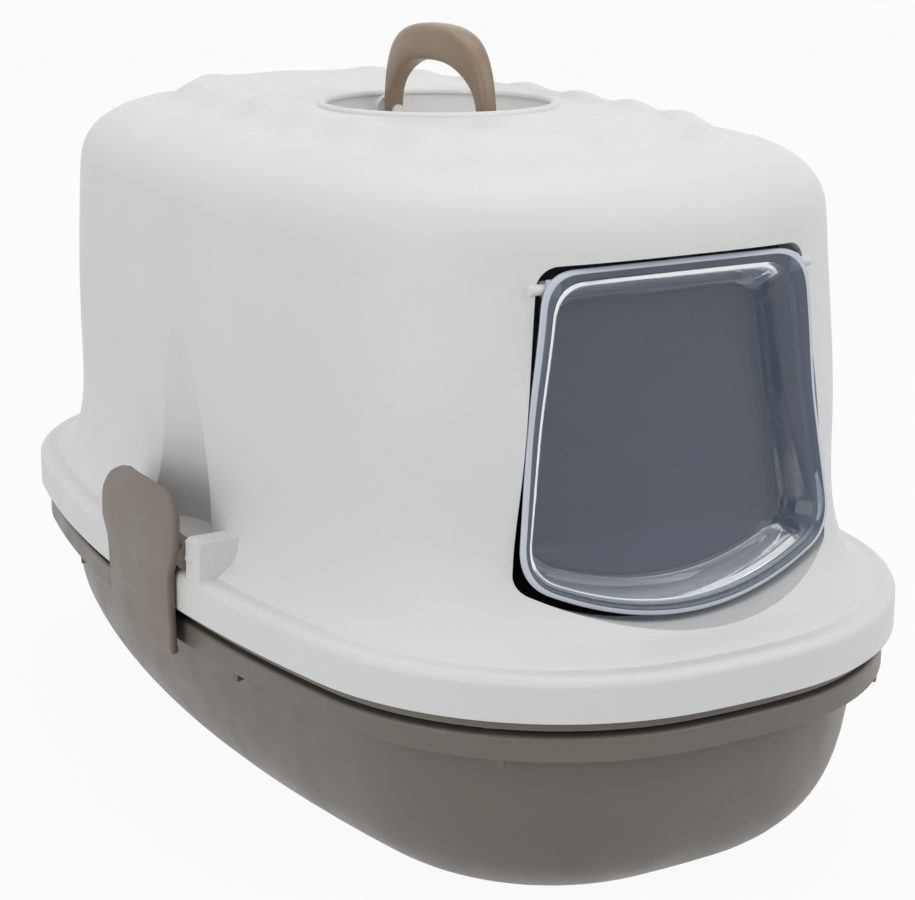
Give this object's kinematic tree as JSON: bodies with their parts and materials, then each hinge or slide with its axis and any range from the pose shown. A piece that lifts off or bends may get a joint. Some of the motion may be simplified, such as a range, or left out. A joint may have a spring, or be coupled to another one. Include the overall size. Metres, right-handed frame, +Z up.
{
  "type": "hooded litter box",
  "caption": "Covered oval litter box: stacked tray and sifter under a domed hood with a clear swing door, fold-down carry handle and side clips.",
  "frame": {"origin": "under the middle of the base tray, on the surface that it stands on", "axes": "+Z up, the door looks towards -Y, +X to the right seen from the door end"},
  "size_m": [0.3604, 0.59, 0.391],
  "materials": {
    "tray": "fine satin moulded surface, warm grey",
    "sifter": "satin moulded surface, warm grey",
    "hood": "satin off-white moulded surface",
    "door": "clear blue-grey tinted, polished",
    "handle": "smooth semi-gloss brown",
    "clip": "satin warm grey"
  },
  "bodies": {
    "base": {"base_tray": "tray"},
    "second_tray": {"inner_tray": "tray"},
    "sifter": {"sifter_walls": "sifter", "sifter_floor": "sifter"},
    "hood": {"hood": "hood"},
    "door": {"door": "door"},
    "handle": {"handle": "handle"},
    "clip_left": {"clip_left": "clip"},
    "clip_right": {"clip_right": "clip"}
  },
  "joints": [
    {"name": "second_tray_lift", "type": "slide", "parent": "base", "child": "second_tray", "axis": [0, 0, 1], "range_m": [0, 0.2]},
    {"name": "sifter_lift", "type": "slide", "parent": "second_tray", "child": "sifter", "axis": [0, 0, 1], "range_m": [0, 0.2]},
    {"name": "hood_lift", "type": "slide", "parent": "sifter", "child": "hood", "axis": [0, 0, 1], "range_m": [0, 0.25]},
    {"name": "door_swing", "type": "hinge", "parent": "hood", "child": "door", "pos_m": [0, -0.22734, 0.29237], "axis": [1, 0, 0], "range_deg": [-75, 50]},
    {"name": "handle_fold", "type": "hinge", "parent": "hood", "child": "handle", "pos_m": [0, -0.016, 0.342], "axis": [0, 1, 0], "range_deg": [-75, 75]},
    {"name": "clip_right_swing", "type": "hinge", "parent": "hood", "child": "clip_right", "pos_m": [0.169, -0.02, 0.142], "axis": [0, -1, 0], "range_deg": [0, 28]},
    {"name": "clip_left_swing", "type": "hinge", "parent": "hood", "child": "clip_left", "pos_m": [-0.169, -0.02, 0.142], "axis": [0, 1, 0], "range_deg": [0, 28]}
  ]
}
